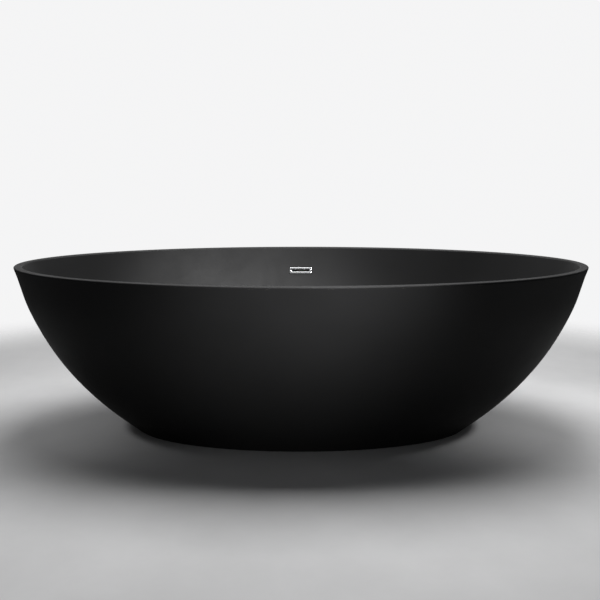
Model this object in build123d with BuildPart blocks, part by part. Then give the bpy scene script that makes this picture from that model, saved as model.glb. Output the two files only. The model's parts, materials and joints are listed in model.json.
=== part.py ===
from build123d import *
import math
import os

# Freestanding oval bathtub, double skinned: an inner basin, an outer skirt and what they hide.
#
# Millimetres, +Z up. The origin is on the floor under the middle of the tub, X runs along the tub
# and +Y points to the side that has the overflow.

# ---------------------------------------------------------------- driving dimensions
LENGTH = 1803.0
WIDTH = 900.0
HEIGHT = 540.0
BASE_LENGTH = 1068.0
BASE_WIDTH = 468.0
RIM_WIDTH = 26.0
RIM_THICKNESS = 6.0
SKIRT_WALL = 5.0
BASIN_WALL = 6.0

# Outer wall, seen from the side: the angle that it leaves the floor and the rim at, and how far
# each end keeps that direction.
BASE_ANGLE, BASE_REACH = 37.4, 127.0
TOP_ANGLE, TOP_REACH = 77.7, 325.0

# Inside of the basin: the flat floor's ellipse, its height, and the wall's shape above it.
FLOOR_LENGTH, FLOOR_WIDTH, FLOOR_Z = 1000.0, 360.0, 125.0
COVE_REACH = 170.0
INNER_TOP_ANGLE, INNER_TOP_REACH = 69.0, 220.0

# Waste in the middle of the floor.
DRAIN_Z = 118.0
DRAIN_PAD_RADIUS = 40.0
WASTE_HOLE_RADIUS = 26.0
SEAT_RADIUS, SEAT_DEPTH = 37.0, 2.5
BOSS_RADIUS, BOSS_Z = 48.0, 107.5

# Overflow in the middle of the long wall.
OVERFLOW_Z = 456.0
TRIM_LENGTH, TRIM_HEIGHT = 82.0, 23.0
SLOT_LENGTH, SLOT_HEIGHT = 66.0, 9.0
SPIGOT_WALL = 2.0
POCKET_DEPTH = 0.8
HOSE_RADIUS, HOSE_BORE = 11.0, 9.0

# Support under the basin.
BOARD_LENGTH, BOARD_WIDTH, BOARD_THICKNESS, BOARD_CORNER = 880.0, 270.0, 15.0, 60.0
BOARD_TOP = 112.0
BAR_SIZE, BAR_WALL, BAR_LENGTH = 30.0, 2.0, 270.0
BAR_STATIONS = {"left": -360.0, "middle": 120.0, "right": 360.0}
FOOT_STATIONS = [(-360.0, -105.0), (-360.0, 105.0), (120.0, 0.0), (360.0, -105.0), (360.0, 105.0)]
THREAD_RADIUS, RUNNING_GAP = 6.0, 0.05
PAD_RADIUS, PAD_HEIGHT = 24.0, 14.0

BOARD_Z = BOARD_TOP - BOARD_THICKNESS
BAR_Z = BOARD_Z - BAR_SIZE

# Steps in the search for the place on a wall that lies at a given height.
HALVINGS = 50

os.makedirs("parts", exist_ok=True)


def save(name, piece):
    """Labels a finished piece and writes it to parts/."""
    piece.label = name
    export_step(piece, f"parts/{name}.step")


# ---------------------------------------------------------------- walls
class Wall:
    """A bowl wall made of elliptical rings. The half length follows a cubic Bezier curve from the
    low ring to the high one, and the half width follows it in proportion."""

    def __init__(self, low, high, low_angle, low_reach, high_angle, high_reach):
        low_turn, high_turn = math.radians(low_angle), math.radians(high_angle)
        self.low, self.high = low, high
        self.controls = [
            (low[0], low[2]),
            (low[0] + low_reach * math.cos(low_turn), low[2] + low_reach * math.sin(low_turn)),
            (high[0] - high_reach * math.cos(high_turn), high[2] - high_reach * math.sin(high_turn)),
            (high[0], high[2]),
        ]

    def ring(self, t, outset=0.0):
        """(half length, half width, height) at t from 0 to 1, moved outward from the wall."""
        p = self.controls
        x, z = (
            (1 - t) ** 3 * p[0][i]
            + 3 * (1 - t) ** 2 * t * p[1][i]
            + 3 * (1 - t) * t**2 * p[2][i]
            + t**3 * p[3][i]
            for i in (0, 1)
        )
        dx, dz = (
            (1 - t) ** 2 * (p[1][i] - p[0][i])
            + 2 * (1 - t) * t * (p[2][i] - p[1][i])
            + t**2 * (p[3][i] - p[2][i])
            for i in (0, 1)
        )
        spread = (self.high[1] - self.low[1]) / (self.high[0] - self.low[0])
        y = self.low[1] + (x - self.low[0]) * spread
        end_slope, side_slope = math.atan2(dz, dx), math.atan2(dz, dx * spread)
        return (
            x + outset * math.sin(end_slope),
            y + outset * math.sin(side_slope),
            z - outset * math.cos(end_slope),
        )

    def at_height(self, height, outset=0.0):
        """The t whose ring lies at that height."""
        below, above = 0.0, 1.0
        for _ in range(HALVINGS):
            middle = (below + above) / 2
            if self.ring(middle, outset)[2] < height:
                below = middle
            else:
                above = middle
        return (below + above) / 2

    def rings(self, bottom, top, count, outset=0.0):
        """Rings from one height to the other, close together where the wall turns most."""
        start, end = self.at_height(bottom, outset), self.at_height(top, outset)
        made = [self.ring(start + (end - start) * i / (count - 1), outset) for i in range(count)]
        made[0] = (*made[0][:2], bottom)
        made[-1] = (*made[-1][:2], top)
        return made

    def side_lean(self, height):
        """How far the long side leans back from upright at a height, in degrees."""
        t, step = self.at_height(height), 1e-4
        low, high = self.ring(t - step), self.ring(t + step)
        return math.degrees(math.atan2(high[1] - low[1], high[2] - low[2]))


def ring_faces(rings):
    """The rings as elliptical faces, ready to loft."""
    faces = []
    for half_length, half_width, height in rings:
        with BuildSketch(Plane.XY.offset(height)) as ring:
            Ellipse(half_length, half_width)
        faces.append(ring.sketch.face())
    return faces


OUTER = Wall(
    (BASE_LENGTH / 2, BASE_WIDTH / 2, 0.0),
    (LENGTH / 2, WIDTH / 2, HEIGHT),
    BASE_ANGLE,
    BASE_REACH,
    TOP_ANGLE,
    TOP_REACH,
)
INNER = Wall(
    (FLOOR_LENGTH / 2, FLOOR_WIDTH / 2, FLOOR_Z),
    (LENGTH / 2 - RIM_WIDTH, WIDTH / 2 - RIM_WIDTH, HEIGHT),
    0.0,
    COVE_REACH,
    INNER_TOP_ANGLE,
    INNER_TOP_REACH,
)

# ---------------------------------------------------------------- places shared by several pieces
def turned_plane(origin, normal):
    """A plane across something that runs along a direction square to X."""
    return Plane(origin=origin, x_dir=(1, 0, 0), z_dir=normal)


# On the inside of the long wall: local X along the tub, local Y up the wall, local Z into the tub.
WALL_LEAN = math.radians(INNER.side_lean(OVERFLOW_Z))
OVERFLOW_WALL = turned_plane(
    (0, INNER.ring(INNER.at_height(OVERFLOW_Z))[1], OVERFLOW_Z),
    (0, -math.cos(WALL_LEAN), math.sin(WALL_LEAN)),
)


def on_wall(up, inward):
    """The point that far up the wall and into the tub from the middle of the overflow."""
    return OVERFLOW_WALL.from_local_coords(Vector(0, up, inward))


# ---------------------------------------------------------------- basin and skirt
RIM_Z = HEIGHT - RIM_THICKNESS
PAD_DEPTH, PAD_FRAME, PAD_CORNER = 8.0, (100.0, 30.0), 6.0
SLOT_GAP, TRIM_CORNER = 0.5, 2.0
SLEEVE_LENGTH = SLOT_LENGTH + 2 * SPIGOT_WALL
SLEEVE_HEIGHT = SLOT_HEIGHT + 2 * SPIGOT_WALL
RIM_OUTER_RADIUS, RIM_INNER_RADIUS = 3.0, 5.0
WALL_RINGS = 10

with BuildPart() as basin_shell:
    loft(ring_faces(INNER.rings(FLOOR_Z - BASIN_WALL, HEIGHT, WALL_RINGS, BASIN_WALL)))
    loft(
        ring_faces(
            [
                (FLOOR_LENGTH / 2, FLOOR_WIDTH / 2, FLOOR_Z - BASIN_WALL),
                (DRAIN_PAD_RADIUS, DRAIN_PAD_RADIUS, DRAIN_Z - BASIN_WALL),
            ]
        ),
        ruled=True,
    )
    loft(ring_faces([OUTER.ring(OUTER.at_height(RIM_Z)), OUTER.ring(1.0)]), ruled=True)
    with BuildSketch(OVERFLOW_WALL.offset(-PAD_DEPTH)):
        RectangleRounded(*PAD_FRAME, PAD_CORNER)
    extrude(amount=PAD_DEPTH / 2)
    with BuildSketch(Plane.XY.offset(BOSS_Z)):
        Circle(BOSS_RADIUS)
    extrude(amount=DRAIN_Z - BOSS_Z - BASIN_WALL / 2)
    loft(ring_faces(INNER.rings(FLOOR_Z, HEIGHT, WALL_RINGS)), mode=Mode.SUBTRACT)
    loft(
        ring_faces(
            [
                (FLOOR_LENGTH / 2, FLOOR_WIDTH / 2, FLOOR_Z),
                (DRAIN_PAD_RADIUS, DRAIN_PAD_RADIUS, DRAIN_Z),
            ]
        ),
        ruled=True,
        mode=Mode.SUBTRACT,
    )
    rim_edges = basin_shell.faces().sort_by(Axis.Z)[-1].edges().sort_by(SortBy.LENGTH)
    fillet(rim_edges[-1], radius=RIM_OUTER_RADIUS)
    rim_edges = basin_shell.faces().sort_by(Axis.Z)[-1].edges().sort_by(SortBy.LENGTH)
    fillet(rim_edges[0], radius=RIM_INNER_RADIUS)
    with BuildSketch(Plane.XY.offset(DRAIN_Z - SEAT_DEPTH)):
        Circle(SEAT_RADIUS)
    extrude(amount=2 * SEAT_DEPTH, mode=Mode.SUBTRACT)
    with BuildSketch(Plane.XY.offset(BOSS_Z)):
        Circle(WASTE_HOLE_RADIUS)
    extrude(amount=DRAIN_Z - BOSS_Z, mode=Mode.SUBTRACT)
    with BuildSketch(OVERFLOW_WALL.offset(-POCKET_DEPTH)):
        RectangleRounded(
            TRIM_LENGTH + 2 * SLOT_GAP, TRIM_HEIGHT + 2 * SLOT_GAP, TRIM_CORNER + SLOT_GAP
        )
    extrude(amount=2 * PAD_DEPTH, mode=Mode.SUBTRACT)
    with BuildSketch(OVERFLOW_WALL.offset(-PAD_DEPTH)):
        Rectangle(SLEEVE_LENGTH + 2 * SLOT_GAP, SLEEVE_HEIGHT + 2 * SLOT_GAP)
    extrude(amount=PAD_DEPTH, mode=Mode.SUBTRACT)
save("basin_shell", basin_shell.part)

LIP_WIDTH, LIP_THICKNESS = 29.0, 5.0
BASIN_CLEARANCE = 1.0 + BASIN_WALL
OPENING_LENGTH, OPENING_WIDTH = BASE_LENGTH - 2 * LIP_WIDTH, BASE_WIDTH - 2 * LIP_WIDTH
FLANGE_BOLT_RADIUS, FLANGE_HEAD_RADIUS, COUNTERSINK_ANGLE = 2.5, 5.0, 90.0

# Straps from the board down to the lip: each one's name, where it stands along the tub and the
# way that it reaches. The tabs under the board and on the lip start this far from their edges.
BRACKET_X = 220.0
BRACKETS = [
    ("bracket_left", 0.0, (-1, 0)),
    ("bracket_right", 0.0, (1, 0)),
    ("bracket_front_left", -BRACKET_X, (0, -1)),
    ("bracket_front_right", BRACKET_X, (0, -1)),
    ("bracket_rear_left", -BRACKET_X, (0, 1)),
    ("bracket_rear_right", BRACKET_X, (0, 1)),
]
BOARD_TAB, BOARD_OVERHANG = 38.0, 4.0
LIP_TAB, LIP_SETBACK = 18.0, 2.0


def board_edge(reach):
    """How far the board goes from the middle of the tub, the way that a strap reaches."""
    return BOARD_LENGTH / 2 if reach[0] else BOARD_WIDTH / 2


def opening_edge(along, reach):
    """How far the base opening goes from the middle of the tub, the way that a strap reaches."""
    if reach[0]:
        return OPENING_LENGTH / 2
    return OPENING_WIDTH / 2 * math.sqrt(1 - (2 * along / OPENING_LENGTH) ** 2)


def strap_point(along, reach, distance):
    """A point of a strap's middle line, as (x, y)."""
    return along + reach[0] * distance, reach[1] * distance


SCREW_POINTS = [
    strap_point(along, reach, board_edge(reach) - BOARD_TAB / 2) for _, along, reach in BRACKETS
]
BOLT_POINTS = [
    strap_point(along, reach, opening_edge(along, reach) + LIP_SETBACK + LIP_TAB / 2)
    for _, along, reach in BRACKETS
]


with BuildPart() as outer_skirt:
    loft(ring_faces(OUTER.rings(0.0, RIM_Z, WALL_RINGS)))
    loft(
        ring_faces(
            OUTER.rings(LIP_THICKNESS, RIM_Z - LIP_THICKNESS, WALL_RINGS, -SKIRT_WALL)
        ),
        mode=Mode.SUBTRACT,
    )
    with BuildSketch():
        Ellipse(OPENING_LENGTH / 2, OPENING_WIDTH / 2)
    extrude(amount=2 * LIP_THICKNESS, mode=Mode.SUBTRACT)
    with BuildSketch(Plane.XY.offset(RIM_Z)):
        Ellipse(
            LENGTH / 2 - RIM_WIDTH + BASIN_CLEARANCE,
            WIDTH / 2 - RIM_WIDTH + BASIN_CLEARANCE,
        )
    extrude(amount=-2 * LIP_THICKNESS, mode=Mode.SUBTRACT)
    with Locations(*[Location((x, y, 0), (180, 0, 0)) for x, y in BOLT_POINTS]):
        CounterSinkHole(FLANGE_BOLT_RADIUS, FLANGE_HEAD_RADIUS, LIP_THICKNESS, COUNTERSINK_ANGLE)
save("outer_skirt", outer_skirt.part)

# ---------------------------------------------------------------- board, leg bars and brackets
SCREW_RADIUS, SCREW_HEAD_RADIUS, SCREW_HEAD = 2.0, 4.5, 3.0
SCREW_BITE = 12.0
BAR_SCREW_Y = 60.0
STRAP, STRAP_WIDTH, STRAP_BEND = 3.0, 30.0, 2.0
BAR_SCREWS = [(x, side * BAR_SCREW_Y) for x in BAR_STATIONS.values() for side in (-1, 1)]
DRAIN_OPENING_RADIUS = 52.0

with BuildPart() as base_board:
    with BuildSketch(Plane.XY.offset(BOARD_Z)):
        RectangleRounded(BOARD_LENGTH, BOARD_WIDTH, BOARD_CORNER)
        Circle(DRAIN_OPENING_RADIUS, mode=Mode.SUBTRACT)
    extrude(amount=BOARD_THICKNESS)
    with BuildSketch(Plane.XY.offset(BOARD_Z)):
        with Locations(*BAR_SCREWS, *SCREW_POINTS):
            Circle(SCREW_RADIUS)
    extrude(amount=SCREW_BITE, mode=Mode.SUBTRACT)
save("base_board", base_board.part)

# Resin bed that the basin's floor sits in on the board, up to the underside of the floor.
BED_LENGTH, BED_WIDTH = 860.0, 256.0

with BuildPart() as resin_bed:
    with BuildSketch(Plane.XY.offset(BOARD_TOP)):
        Ellipse(BED_LENGTH / 2, BED_WIDTH / 2)
        Circle(DRAIN_OPENING_RADIUS, mode=Mode.SUBTRACT)
    extrude(amount=FLOOR_Z - BASIN_WALL - BOARD_TOP)
    loft(
        ring_faces(
            [
                (FLOOR_LENGTH / 2, FLOOR_WIDTH / 2, FLOOR_Z - BASIN_WALL),
                (DRAIN_PAD_RADIUS, DRAIN_PAD_RADIUS, DRAIN_Z - BASIN_WALL),
            ]
        ),
        ruled=True,
        mode=Mode.SUBTRACT,
    )
save("resin_bed", resin_bed.part)

ACCESS_RADIUS, SCREW_CLEARANCE, STUD_CLEARANCE = 6.0, 0.2, 0.2
BAR_CORNER, BAR_INSIDE_CORNER = 3.0, 1.0
BAR_INSIDE = BAR_SIZE - 2 * BAR_WALL


def leg_bar(x):
    """A square tube across the tub, with holes for its screws and its studs."""
    axis = turned_plane((x, -BAR_LENGTH / 2, BAR_Z + BAR_SIZE / 2), (0, 1, 0))
    feet = [(fx, fy) for fx, fy in FOOT_STATIONS if fx == x]
    screws = [(sx, sy) for sx, sy in BAR_SCREWS if sx == x]
    with BuildPart() as bar:
        with BuildSketch(axis):
            RectangleRounded(BAR_SIZE, BAR_SIZE, BAR_CORNER)
            RectangleRounded(BAR_INSIDE, BAR_INSIDE, BAR_INSIDE_CORNER, mode=Mode.SUBTRACT)
        extrude(amount=BAR_LENGTH)
        with BuildSketch(Plane.XY.offset(BAR_Z)):
            with Locations(*feet):
                Circle(THREAD_RADIUS + STUD_CLEARANCE)
            with Locations(*screws):
                Circle(ACCESS_RADIUS)
        extrude(amount=BAR_WALL, mode=Mode.SUBTRACT)
        with BuildSketch(Plane.XY.offset(BOARD_Z)):
            with Locations(*screws):
                Circle(SCREW_RADIUS + SCREW_CLEARANCE)
        extrude(amount=-BAR_WALL, mode=Mode.SUBTRACT)
    return bar.part


for station, bar_x in BAR_STATIONS.items():
    save(f"leg_bar_{station}", leg_bar(bar_x))

CAP_PLATE, CAP_PLUG, CAP_GAP = 3.0, 12.0, 0.05

with BuildPart() as bar_end_caps:
    for bar_x in BAR_STATIONS.values():
        for side in (-1, 1):
            end = turned_plane((bar_x, side * BAR_LENGTH / 2, BAR_Z + BAR_SIZE / 2), (0, side, 0))
            with BuildSketch(end):
                RectangleRounded(BAR_SIZE, BAR_SIZE, BAR_CORNER)
            extrude(amount=CAP_PLATE)
            with BuildSketch(end):
                RectangleRounded(
                    BAR_INSIDE - 2 * CAP_GAP, BAR_INSIDE - 2 * CAP_GAP, BAR_INSIDE_CORNER
                )
            extrude(amount=-CAP_PLUG)
save("bar_end_caps", bar_end_caps.part)

with BuildPart() as board_screws:
    for points, seat in ((BAR_SCREWS, BOARD_Z - BAR_WALL), (SCREW_POINTS, BOARD_Z - STRAP)):
        with BuildSketch(Plane.XY.offset(seat)):
            with Locations(*points):
                Circle(SCREW_HEAD_RADIUS)
        extrude(amount=-SCREW_HEAD)
        with BuildSketch(Plane.XY.offset(seat)):
            with Locations(*points):
                Circle(SCREW_RADIUS)
        extrude(amount=SCREW_BITE + BAR_WALL)
save("board_screws", board_screws.part)


def bracket(along, reach):
    """A bent strap from under the board down to the skirt's bottom lip."""
    board_out = board_edge(reach) + BOARD_OVERHANG
    board_in = board_edge(reach) - BOARD_TAB
    lip_in = opening_edge(along, reach) + LIP_SETBACK
    lip_out = lip_in + LIP_TAB
    outline = [
        (board_in, BOARD_Z),
        (board_out, BOARD_Z),
        (lip_in + STRAP_BEND, LIP_THICKNESS + STRAP),
        (lip_out, LIP_THICKNESS + STRAP),
        (lip_out, LIP_THICKNESS),
        (lip_in, LIP_THICKNESS),
        (board_out - STRAP_BEND, BOARD_Z - STRAP),
        (board_in, BOARD_Z - STRAP),
    ]
    outward = Vector(*reach, 0)
    face = Plane(origin=(along, 0, 0), x_dir=outward, z_dir=outward.cross(Vector(0, 0, 1)))
    with BuildPart() as strap:
        with BuildSketch(face):
            with BuildLine():
                Polyline(*outline, close=True)
            make_face()
        extrude(amount=STRAP_WIDTH / 2, both=True)
        with BuildSketch(Plane.XY):
            with Locations(strap_point(along, reach, (lip_in + lip_out) / 2)):
                Circle(FLANGE_BOLT_RADIUS + SCREW_CLEARANCE)
        extrude(amount=BOARD_Z / 2, mode=Mode.SUBTRACT)
        with BuildSketch(Plane.XY.offset(BOARD_Z)):
            with Locations(strap_point(along, reach, board_edge(reach) - BOARD_TAB / 2)):
                Circle(SCREW_RADIUS + SCREW_CLEARANCE)
        extrude(amount=-2 * STRAP, mode=Mode.SUBTRACT)
    return strap.part


for bracket_name, bracket_along, bracket_reach in BRACKETS:
    save(bracket_name, bracket(bracket_along, bracket_reach))

NUT_FLAT, NUT_HEIGHT, BOLT_END = 8.0, 4.0, 15.0
BOLT_FLUSH = 0.2

with BuildPart() as bracket_bolts:
    with BuildSketch(Plane.XZ) as bolt_profile:
        with BuildLine():
            Polyline(
                (0, BOLT_FLUSH),
                (FLANGE_HEAD_RADIUS - BOLT_FLUSH, BOLT_FLUSH),
                (FLANGE_BOLT_RADIUS, FLANGE_HEAD_RADIUS - FLANGE_BOLT_RADIUS),
                (FLANGE_BOLT_RADIUS, BOLT_END),
                (0, BOLT_END),
                close=True,
            )
        make_face()
    revolve(axis=Axis.Z)
bolt = bracket_bolts.part
save("bracket_bolts", Compound([bolt.moved(Location((x, y, 0))) for x, y in BOLT_POINTS]))

with BuildPart() as bracket_nuts:
    with BuildSketch(Plane.XY.offset(LIP_THICKNESS + STRAP)):
        with Locations(*BOLT_POINTS):
            RegularPolygon(NUT_FLAT / 2, 6, major_radius=False)
            Circle(FLANGE_BOLT_RADIUS, mode=Mode.SUBTRACT)
    extrude(amount=NUT_HEIGHT)
save("bracket_nuts", bracket_nuts.part)

# ---------------------------------------------------------------- levelling feet
FOOT_NUT_FLAT, WELD_NUT, LOCK_NUT = 19.0, 10.0, 7.0
STUD_PIN_RADIUS, STUD_PIN_LOW = 5.0, 4.2
STUD_FLAT, STUD_HEX_Z, STUD_HEX, STUD_TOP = 17.0, 15.0, 8.0, 88.0
PAD_SOCKET_Z, PAD_RIM_Z, PAD_NECK_RADIUS = 4.0, 8.0, 10.0
PAD_LOW_EDGE, PAD_TOP_EDGE, STUD_TIP = 1.0, 1.5, 1.0


def foot_nuts(top, thickness):
    """One nut round each stud."""
    with BuildPart() as nuts:
        with BuildSketch(Plane.XY.offset(top)):
            with Locations(*FOOT_STATIONS):
                RegularPolygon(FOOT_NUT_FLAT / 2, 6, major_radius=False)
                Circle(THREAD_RADIUS + RUNNING_GAP, mode=Mode.SUBTRACT)
        extrude(amount=-thickness)
    return nuts.part


save("weld_nuts", foot_nuts(BAR_Z, WELD_NUT))
save("lock_nuts", foot_nuts(BAR_Z - WELD_NUT, LOCK_NUT))


def foot_pad(x, y):
    """The plastic foot, with a socket for the end of the stud."""
    with BuildPart() as pad:
        with BuildSketch(Plane.XY):
            with Locations((x, y)):
                Circle(PAD_RADIUS)
        extrude(amount=PAD_RIM_Z)
        chamfer(pad.edges().group_by(Axis.Z)[0], length=PAD_LOW_EDGE)
        fillet(pad.edges().group_by(Axis.Z)[-1], radius=PAD_TOP_EDGE)
        with BuildSketch(Plane.XY.offset(PAD_RIM_Z)):
            with Locations((x, y)):
                Circle(PAD_NECK_RADIUS)
        extrude(amount=PAD_HEIGHT - PAD_RIM_Z)
        with BuildSketch(Plane.XY.offset(PAD_SOCKET_Z)):
            with Locations((x, y)):
                Circle(STUD_PIN_RADIUS + RUNNING_GAP)
        extrude(amount=PAD_HEIGHT, mode=Mode.SUBTRACT)
    return pad.part


def foot_stud(x, y):
    """The levelling screw: an end that turns in the foot, a hexagon for the spanner, a thread."""
    with BuildPart() as stud:
        with BuildSketch(Plane.XY.offset(STUD_PIN_LOW)):
            with Locations((x, y)):
                Circle(STUD_PIN_RADIUS)
        extrude(amount=STUD_HEX_Z - STUD_PIN_LOW)
        with BuildSketch(Plane.XY.offset(STUD_HEX_Z)):
            with Locations((x, y)):
                RegularPolygon(STUD_FLAT / 2, 6, major_radius=False)
        extrude(amount=STUD_HEX)
        with BuildSketch(Plane.XY.offset(STUD_HEX_Z + STUD_HEX)):
            with Locations((x, y)):
                Circle(THREAD_RADIUS)
        extrude(amount=STUD_TOP - STUD_HEX_Z - STUD_HEX)
        chamfer(stud.edges().group_by(Axis.Z)[-1], length=STUD_TIP)
    return stud.part


for number, (foot_x, foot_y) in enumerate(FOOT_STATIONS, start=1):
    save(f"foot_pad_{number}", foot_pad(foot_x, foot_y))
    save(f"foot_stud_{number}", foot_stud(foot_x, foot_y))

# ---------------------------------------------------------------- waste under the drain
GASKET_TOP, TOP_GASKET_RADIUS = 1.0, 35.0
GASKET_BOTTOM, LOW_GASKET_RADIUS, LOW_GASKET_BORE = 3.0, 33.0, 25.0
SEAT_Z = DRAIN_Z - SEAT_DEPTH
FLANGE_RADIUS, FLANGE_PROUD, FLANGE_EDGE = 36.0, 0.5, 0.8
FLANGE_TOP = DRAIN_Z + FLANGE_PROUD
TAIL_RADIUS, TAIL_BORE, TAIL_LOW = 24.0, 21.0, 84.0
SEAT_MOUTH, SEAT_CONE = 24.5, 3.5
CROSS_Z, CROSS_HEIGHT, ARM_WIDTH, ARM_BITE = 86.0, 5.0, 4.0, 1.0
ARM_LENGTH = 2 * (TAIL_BORE + ARM_BITE)
HUB_RADIUS, HUB_HEIGHT, SLEEVE_RADIUS = 9.0, 8.0, 6.0


def ring_piece(low, high, outer, inner):
    """A plain round ring on the drain's axis."""
    with BuildPart() as ring:
        with BuildSketch(Plane.XY.offset(low)):
            Circle(outer)
            Circle(inner, mode=Mode.SUBTRACT)
        extrude(amount=high - low)
    return ring.part


save("drain_gasket_top", ring_piece(SEAT_Z, SEAT_Z + GASKET_TOP, TOP_GASKET_RADIUS, WASTE_HOLE_RADIUS))
save("drain_gasket_bottom", ring_piece(BOSS_Z - GASKET_BOTTOM, BOSS_Z, LOW_GASKET_RADIUS, LOW_GASKET_BORE))

with BuildPart() as drain_flange:
    with BuildSketch(Plane.XY.offset(SEAT_Z + GASKET_TOP)):
        Circle(FLANGE_RADIUS)
    extrude(amount=FLANGE_TOP - SEAT_Z - GASKET_TOP)
    fillet(drain_flange.edges().group_by(Axis.Z)[-1], radius=FLANGE_EDGE)
    with BuildSketch(Plane.XY.offset(TAIL_LOW)):
        Circle(TAIL_RADIUS)
    extrude(amount=SEAT_Z + GASKET_TOP - TAIL_LOW)
    with BuildSketch(Plane.XY.offset(TAIL_LOW)):
        Circle(TAIL_BORE)
    extrude(amount=DRAIN_Z, mode=Mode.SUBTRACT)
    with BuildSketch(Plane.XZ):
        with BuildLine():
            Polyline(
                (0, FLANGE_TOP - SEAT_CONE),
                (TAIL_BORE, FLANGE_TOP - SEAT_CONE),
                (SEAT_MOUTH, FLANGE_TOP),
                (0, FLANGE_TOP),
                close=True,
            )
        make_face()
    revolve(axis=Axis.Z, mode=Mode.SUBTRACT)
    with BuildSketch(Plane.XY.offset(CROSS_Z)):
        Rectangle(ARM_LENGTH, ARM_WIDTH)
        Rectangle(ARM_WIDTH, ARM_LENGTH)
    extrude(amount=CROSS_HEIGHT)
    with BuildSketch(Plane.XY.offset(TAIL_LOW)):
        Circle(HUB_RADIUS)
    extrude(amount=HUB_HEIGHT)
    with BuildSketch(Plane.XY.offset(TAIL_LOW)):
        Circle(SLEEVE_RADIUS)
    extrude(amount=HUB_HEIGHT, mode=Mode.SUBTRACT)
save("drain_flange", drain_flange.part)

SHOE_TOP = BOSS_Z - GASKET_BOTTOM
SHOE_RADIUS, SHOE_LIP_RADIUS, SHOE_LIP, SHOE_LOW, SHOE_EDGE = 28.0, 33.0, 6.0, 56.0, 2.0
NECK_RADIUS, NECK_LOW = 24.0, 40.0
PIPE_RADIUS, PIPE_BORE, PIPE_LOW, PIPE_TOP = 19.6, 18.0, 6.0, 58.0
SPIGOT_RADIUS, SPIGOT_TOP = 20.0, 28.0
INLET_Z, INLET_RADIUS, INLET_BORE, INLET_END = 75.0, HOSE_BORE, 7.0, 56.0
INLET_BITE = 2.0
INLET_START = SHOE_RADIUS - INLET_BITE
PIPE_GAP = 0.1

with BuildPart() as drain_shoe:
    with BuildSketch(Plane.XY.offset(SHOE_TOP - SHOE_LIP)):
        Circle(SHOE_LIP_RADIUS)
    extrude(amount=SHOE_LIP)
    with BuildSketch(Plane.XY.offset(SHOE_LOW)):
        Circle(SHOE_RADIUS)
    extrude(amount=SHOE_TOP - SHOE_LOW)
    fillet(drain_shoe.edges().group_by(Axis.Z)[0], radius=SHOE_EDGE)
    with BuildSketch(Plane.XY.offset(NECK_LOW)):
        Circle(NECK_RADIUS)
    extrude(amount=SHOE_LOW - NECK_LOW)
    with BuildSketch(turned_plane((0, INLET_START, INLET_Z), (0, 1, 0))):
        Circle(INLET_RADIUS)
    extrude(amount=INLET_END - INLET_START)
    with BuildSketch(Plane.XY.offset(PIPE_TOP)):
        Circle(TAIL_RADIUS + PIPE_GAP)
    extrude(amount=SHOE_TOP - PIPE_TOP, mode=Mode.SUBTRACT)
    with BuildSketch(Plane.XY.offset(NECK_LOW)):
        Circle(PIPE_RADIUS + PIPE_GAP)
    extrude(amount=PIPE_TOP - NECK_LOW, mode=Mode.SUBTRACT)
    with BuildSketch(turned_plane((0, 0, INLET_Z), (0, 1, 0))):
        Circle(INLET_BORE)
    extrude(amount=INLET_END, mode=Mode.SUBTRACT)
save("drain_shoe", drain_shoe.part)

WASHER, NUT_FLOOR, NUT_LAP, TAIL_NUT_RADIUS = 6.0, 4.0, 10.0, 30.0
NUT_RIBS = 12
NUT_LOW = NECK_LOW - WASHER - NUT_FLOOR
save("tail_washer", ring_piece(NECK_LOW - WASHER, NECK_LOW, NECK_RADIUS, PIPE_RADIUS))

with BuildPart() as tail_pipe:
    with BuildSketch(Plane.XY.offset(PIPE_LOW)):
        Circle(PIPE_RADIUS)
    extrude(amount=PIPE_TOP - PIPE_LOW)
    with BuildSketch(Plane.XY.offset(PIPE_LOW)):
        Circle(SPIGOT_RADIUS)
    extrude(amount=SPIGOT_TOP - PIPE_LOW)
    with BuildSketch(Plane.XY.offset(PIPE_LOW)):
        Circle(PIPE_BORE)
    extrude(amount=PIPE_TOP - PIPE_LOW, mode=Mode.SUBTRACT)
save("tail_pipe", tail_pipe.part)

with BuildPart() as tail_nut:
    with BuildSketch(Plane.XY.offset(NUT_LOW)):
        RegularPolygon(TAIL_NUT_RADIUS, NUT_RIBS)
        Circle(PIPE_RADIUS + PIPE_GAP, mode=Mode.SUBTRACT)
    extrude(amount=NUT_FLOOR + WASHER + NUT_LAP)
    with BuildSketch(Plane.XY.offset(NUT_LOW + NUT_FLOOR)):
        Circle(NECK_RADIUS + PIPE_GAP)
    extrude(amount=WASHER + NUT_LAP, mode=Mode.SUBTRACT)
save("tail_nut", tail_nut.part)

# ---------------------------------------------------------------- push stopper
STOPPER_TRAVEL = 9.0
CAP_LIFT, CAP_EDGE, CAP_CROWN, CAP_RADIUS, CAP_BEVEL = 0.4, 3.4, 1.6, 31.0, 1.0
CAP_LOW = FLANGE_TOP + CAP_LIFT
SEAL_DEPTH, SEAL_TOP_RADIUS, SEAL_LOW_RADIUS, SEAL_HOLE = 2.0, 24.2, 22.4, 12.0
STEM_RADIUS, STEM_LOW, STEM_TIP, COLLAR_RADIUS, COLLAR = 3.0, 80.0, 0.5, 4.5, 2.0
CHAMBER_RADIUS, CHAMBER_LOW, CHAMBER_TOP, SLEEVE_TOP = 4.8, 87.0, 106.0, 108.0
STEM_GAP, STOP_GAP = 0.1, 0.2
SPRING_RADIUS, SPRING_WIRE, SPRING_TURNS = 4.0, 0.35, 3.5
COLLAR_LOW = CHAMBER_TOP - STOP_GAP - STOPPER_TRAVEL - COLLAR

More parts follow.
